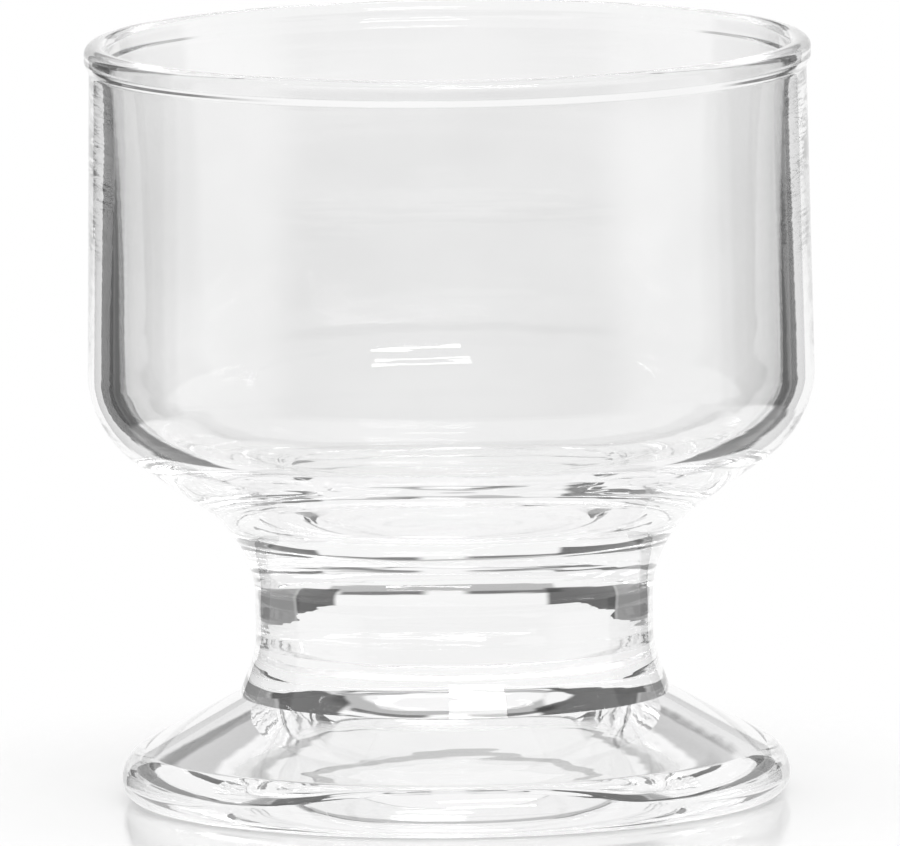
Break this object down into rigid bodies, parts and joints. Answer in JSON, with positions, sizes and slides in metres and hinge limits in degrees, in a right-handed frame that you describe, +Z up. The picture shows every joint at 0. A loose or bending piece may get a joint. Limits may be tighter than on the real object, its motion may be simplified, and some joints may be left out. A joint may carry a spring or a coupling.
{
  "type": "wine tasting glass",
  "caption": "Small clear pressed-glass wine taster with a wide straight-sided bowl, a thick dished floor, a short waisted stem and a domed foot.",
  "frame": {"origin": "middle of the flat ring that the foot stands on, at table level", "axes": "+Z up along the glass's axis of turning; X and Y are level and alike, because the glass is round"},
  "size_m": [0.0628, 0.0628, 0.0658],
  "materials": {
    "clear_glass": "fire-polished, clear and smooth"
  },
  "bodies": {
    "root": {"bowl": "clear_glass", "stem": "clear_glass", "foot": "clear_glass"}
  },
  "joints": []
}
